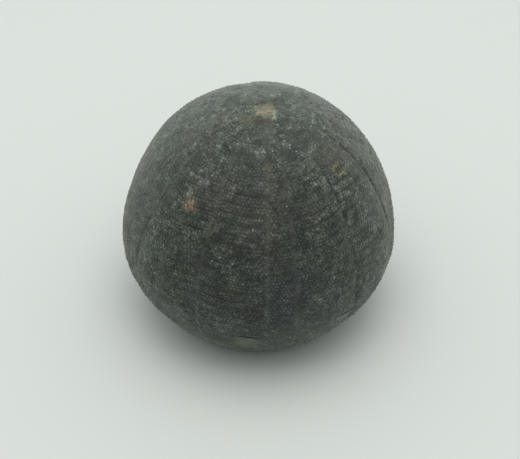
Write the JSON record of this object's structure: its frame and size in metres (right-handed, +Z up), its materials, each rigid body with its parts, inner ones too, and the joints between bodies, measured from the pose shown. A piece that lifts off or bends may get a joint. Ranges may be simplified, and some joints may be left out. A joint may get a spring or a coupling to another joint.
{
  "type": "fossil sea urchin",
  "caption": "High-domed stony sea urchin test with fine radial bands and rows of tiny knobs, resting on its flat underside.",
  "frame": {"origin": "on the resting plane, under the middle of the test's outline", "axes": "+Z up from the flat underside to the apex, -Y the front, +X the right-hand side seen from the front"},
  "size_m": [0.0602, 0.06, 0.0521],
  "materials": {
    "fossil_stone": "matte"
  },
  "bodies": {
    "root": {"sea_urchin_test": "fossil_stone"}
  },
  "joints": []
}
